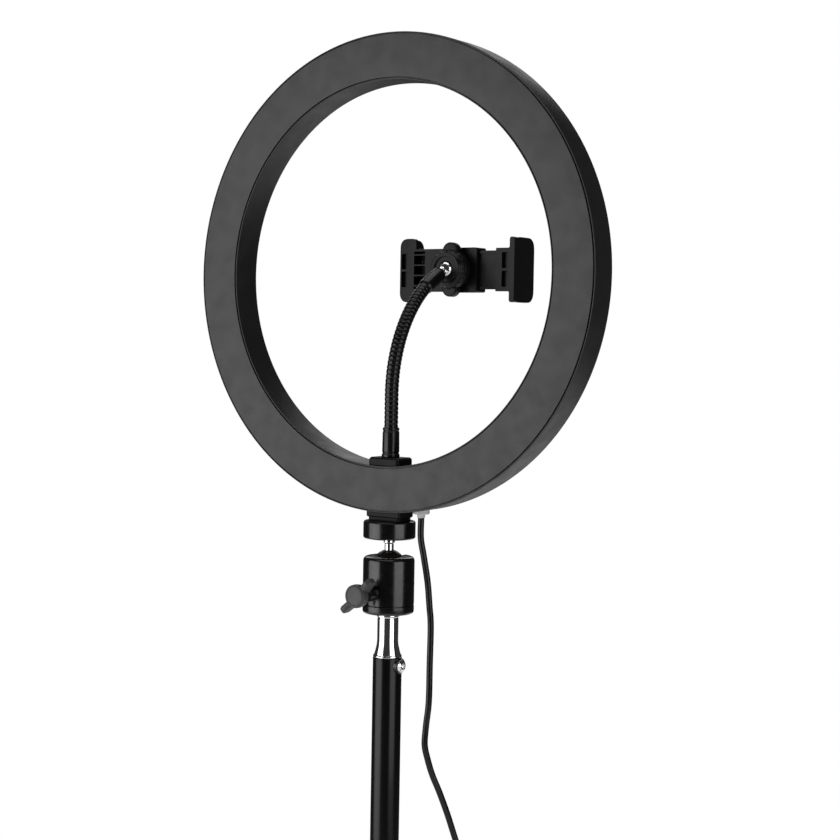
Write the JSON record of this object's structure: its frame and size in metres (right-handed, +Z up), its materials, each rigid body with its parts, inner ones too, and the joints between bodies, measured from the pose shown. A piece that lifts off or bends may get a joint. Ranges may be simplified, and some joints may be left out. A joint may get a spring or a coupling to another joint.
{
  "type": "ring light on a tripod stand",
  "caption": "Round LED ring light on a ball head and a telescoping tripod stand, with a gooseneck phone clamp in its centre and a USB cord with a remote.",
  "frame": {"origin": "on the floor, under the mast's axis, with the three feet standing on z = 0", "axes": "+Z up along the mast; the light and the phone clamp face -Y; one leg points to -Y"},
  "size_m": [0.6502, 0.5658, 1.38],
  "materials": {
    "stand_black": "satin black powder coat",
    "clamp_plastic": "fine-grained black nylon",
    "knob_plastic": "textured black plastic",
    "foot_rubber": "matt black rubber",
    "bush_plastic": "dark grey acetal",
    "chrome": "polished chrome",
    "steel": "zinc-plated steel",
    "washer_black": "black plastic",
    "head_black": "gloss black anodising",
    "wing_grey": "matt grey plastic",
    "seat_nylon": "natural nylon",
    "ball_black": "black ball",
    "shell_plastic": "matt dark grey ABS with a fine spark texture",
    "diffuser_white": "opal white diffuser",
    "board_white": "white solder mask",
    "led_yellow": "phosphor and clear resin",
    "grommet_grey": "light grey soft plastic",
    "neck_black": "glossy black hose over wound steel",
    "clamp_black": "satin black ABS",
    "pad_rubber": "soft black rubber",
    "cord_pvc": "satin black PVC",
    "remote_plastic": "black ABS",
    "button_rubber": "grey silicone"
  },
  "bodies": {
    "stand_base": {"base_hub": "clamp_plastic", "lower_tube": "stand_black", "lower_clamp": "clamp_plastic"},
    "lower_knob": {"lower_knob": "knob_plastic"},
    "stay_1": {"stay_1": "stand_black"},
    "stay_2": {"stay_2": "stand_black"},
    "stay_3": {"stay_3": "stand_black"},
    "leg_1": {"leg_1": "stand_black", "foot_1": "foot_rubber"},
    "leg_2": {"leg_2": "stand_black", "foot_2": "foot_rubber"},
    "leg_3": {"leg_3": "stand_black", "foot_3": "foot_rubber"},
    "leg_collar": {"leg_collar": "clamp_plastic"},
    "collar_knob": {"collar_knob": "knob_plastic"},
    "middle_mast": {"middle_tube": "stand_black", "middle_bush": "bush_plastic", "upper_clamp": "clamp_plastic"},
    "upper_knob": {"upper_knob": "knob_plastic"},
    "upper_mast": {"upper_tube": "stand_black", "upper_bush": "bush_plastic", "spigot": "chrome", "spigot_screw": "chrome", "screw_washer": "washer_black", "head_base": "head_black"},
    "wing_screw": {"wing_screw": "wing_grey"},
    "head_seat": {"head_housing": "head_black", "ball_seat": "seat_nylon", "cable": "cord_pvc", "cable_coil": "cord_pvc", "controller_case": "remote_plastic", "controller_cover": "remote_plastic", "usb_plug": "cord_pvc"},
    "ring_head": {"ball": "ball_black", "stem_stud": "chrome", "platform": "head_black", "rear_shell": "shell_plastic", "diffuser": "diffuser_white", "led_board": "board_white", "leds": "led_yellow", "board_screws": "steel", "lower_bracket": "clamp_black", "neck_bracket": "clamp_black", "bracket_screws": "steel", "cable_grommet": "grommet_grey", "neck_ferrule": "neck_black"},
    "neck_lower": {"neck_lower": "neck_black"},
    "neck_middle": {"neck_middle": "neck_black"},
    "neck_upper": {"neck_upper": "neck_black", "ball_stud": "chrome"},
    "clamp_socket": {"clamp_socket": "clamp_black"},
    "lock_nut": {"lock_nut": "clamp_black"},
    "phone_clamp": {"clamp_frame": "clamp_black", "frame_pad": "pad_rubber", "jaw_springs": "steel"},
    "clamp_arm": {"clamp_arm": "clamp_black", "arm_pad": "pad_rubber"},
    "power_button": {"power_button": "button_rubber"},
    "dim_button": {"dim_button": "button_rubber"},
    "tone_button": {"tone_button": "button_rubber"}
  },
  "joints": [
    {"name": "legs_fold", "type": "hinge", "parent": "stand_base", "child": "stay_1", "pos_m": [0, -0.024, 0.062], "axis": [-1, 0, 0], "range_deg": [0, 52]},
    {"name": "leg_1_pivot", "type": "hinge", "parent": "stay_1", "child": "leg_1", "pos_m": [0, -0.15121, 0.14149], "axis": [-1, 0, 0], "range_deg": [-104, 0]},
    {"name": "collar_pivot", "type": "hinge", "parent": "leg_1", "child": "leg_collar", "pos_m": [0, -0.024, 0.22098], "axis": [-1, 0, 0], "range_deg": [0, 52]},
    {"name": "stay_2_pivot", "type": "hinge", "parent": "stand_base", "child": "stay_2", "pos_m": [0.02079, 0.012, 0.062], "axis": [0.5, -0.866, 0], "range_deg": [0, 52]},
    {"name": "leg_2_pivot", "type": "hinge", "parent": "stay_2", "child": "leg_2", "pos_m": [0.13095, 0.0756, 0.14149], "axis": [0.5, -0.866, 0], "range_deg": [-104, 0]},
    {"name": "stay_3_pivot", "type": "hinge", "parent": "stand_base", "child": "stay_3", "pos_m": [-0.02079, 0.012, 0.062], "axis": [0.5, 0.866, 0], "range_deg": [0, 52]},
    {"name": "leg_3_pivot", "type": "hinge", "parent": "stay_3", "child": "leg_3", "pos_m": [-0.13095, 0.0756, 0.14149], "axis": [0.5, 0.866, 0], "range_deg": [-104, 0]},
    {"name": "collar_knob_turn", "type": "hinge", "parent": "leg_collar", "child": "collar_knob", "pos_m": [0.02598, -0.015, 0.22898], "axis": [0.866, -0.5, 0], "range_deg": [0, 360]},
    {"name": "lower_knob_turn", "type": "hinge", "parent": "stand_base", "child": "lower_knob", "pos_m": [0.02598, -0.015, 0.449], "axis": [0.866, -0.5, 0], "range_deg": [0, 360]},
    {"name": "lower_slide", "type": "slide", "parent": "stand_base", "child": "middle_mast", "axis": [0, 0, 1], "range_m": [-0.26, 0.05]},
    {"name": "upper_knob_turn", "type": "hinge", "parent": "middle_mast", "child": "upper_knob", "pos_m": [0.02598, -0.015, 0.759], "axis": [0.866, -0.5, 0], "range_deg": [0, 360]},
    {"name": "upper_slide", "type": "slide", "parent": "middle_mast", "child": "upper_mast", "axis": [0, 0, 1], "range_m": [-0.26, 0.06]},
    {"name": "wing_turn", "type": "hinge", "parent": "head_seat", "child": "wing_screw", "pos_m": [0, 0.02, 1.0765], "axis": [0, 1, 0], "range_deg": [0, 360]},
    {"name": "head_pan", "type": "hinge", "parent": "upper_mast", "child": "head_seat", "pos_m": [0, 0, 1.09], "axis": [0, 0, 1], "range_deg": [-40, 40]},
    {"name": "head_tilt", "type": "hinge", "parent": "head_seat", "child": "ring_head", "pos_m": [0, 0, 1.09], "axis": [1, 0, 0], "range_deg": [-35, 90]},
    {"name": "neck_swing", "type": "hinge", "parent": "ring_head", "child": "neck_lower", "pos_m": [0, 0, 1.17], "axis": [0, 0, 1], "range_deg": [-60, 60]},
    {"name": "neck_bend_lower", "type": "hinge", "parent": "neck_lower", "child": "neck_middle", "pos_m": [0, -0.00343, 1.20625], "axis": [1, 0, 0], "range_deg": [-28, 20]},
    {"name": "neck_bend_upper", "type": "hinge", "parent": "neck_middle", "child": "neck_upper", "pos_m": [0, -0.02594, 1.24027], "axis": [1, 0, 0], "range_deg": [-28, 20]},
    {"name": "clamp_tilt", "type": "hinge", "parent": "neck_upper", "child": "clamp_socket", "pos_m": [0, -0.05245, 1.25524], "axis": [1, 0, 0], "range_deg": [-45, 15]},
    {"name": "clamp_spin", "type": "hinge", "parent": "clamp_socket", "child": "phone_clamp", "pos_m": [0, -0.06295, 1.25524], "axis": [0, 1, 0], "range_deg": [-90, 90]},
    {"name": "lock_nut_turn", "type": "hinge", "parent": "clamp_socket", "child": "lock_nut", "pos_m": [0, -0.05795, 1.25524], "axis": [0, 1, 0], "range_deg": [0, 360]},
    {"name": "jaw_slide", "type": "slide", "parent": "phone_clamp", "child": "clamp_arm", "axis": [1, 0, 0], "range_m": [-0.014, 0.012], "deforming": ["jaw_springs"]},
    {"name": "power_press", "type": "slide", "parent": "head_seat", "child": "power_button", "axis": [0.848, 0.5299, 0], "range_m": [0, 0.001], "stiffness_N_per_m": 300, "springref_m": -0.001},
    {"name": "dim_press", "type": "slide", "parent": "head_seat", "child": "dim_button", "axis": [0.848, 0.5299, 0], "range_m": [0, 0.001], "stiffness_N_per_m": 300, "springref_m": -0.001},
    {"name": "tone_press", "type": "slide", "parent": "head_seat", "child": "tone_button", "axis": [0.848, 0.5299, 0], "range_m": [0, 0.001], "stiffness_N_per_m": 300, "springref_m": -0.001}
  ],
  "couplings": [
    {"joint": "leg_1_pivot", "follows": "legs_fold", "ratio": -2},
    {"joint": "collar_pivot", "follows": "legs_fold", "ratio": 1},
    {"joint": "stay_2_pivot", "follows": "legs_fold", "ratio": 1},
    {"joint": "leg_2_pivot", "follows": "legs_fold", "ratio": -2},
    {"joint": "stay_3_pivot", "follows": "legs_fold", "ratio": 1},
    {"joint": "leg_3_pivot", "follows": "legs_fold", "ratio": -2},
    {"joint": "neck_bend_upper", "follows": "neck_bend_lower", "ratio": 1}
  ]
}
